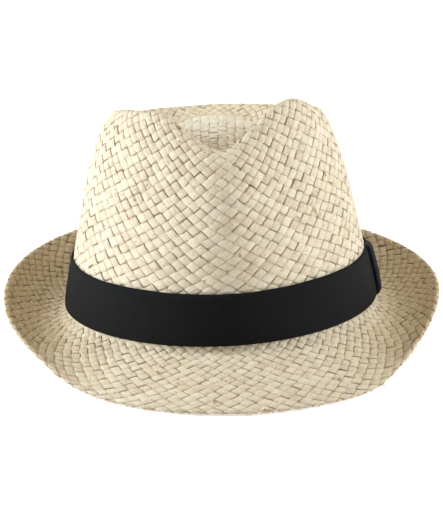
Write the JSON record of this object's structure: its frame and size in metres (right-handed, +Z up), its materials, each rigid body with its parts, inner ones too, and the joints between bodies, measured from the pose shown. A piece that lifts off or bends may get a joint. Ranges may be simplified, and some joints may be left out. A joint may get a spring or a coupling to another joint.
{
  "type": "trilby",
  "caption": "Woven straw trilby with a pinched, dented crown, a short brim that turns up at the back and a black ribbon band.",
  "frame": {"origin": "on the table, under the middle of the hat's box", "axes": "+Z up from the table, +Y from the front of the hat to its back, +X to the side that carries the band's keeper"},
  "size_m": [0.2418, 0.2718, 0.1344],
  "materials": {
    "straw_body": "matte woven straw",
    "band": "matte ribbed ribbon",
    "band_keeper": "matte ribbed ribbon"
  },
  "bodies": {
    "root": {"straw_body": "straw_body", "band": "band", "band_keeper": "band_keeper"}
  },
  "joints": []
}
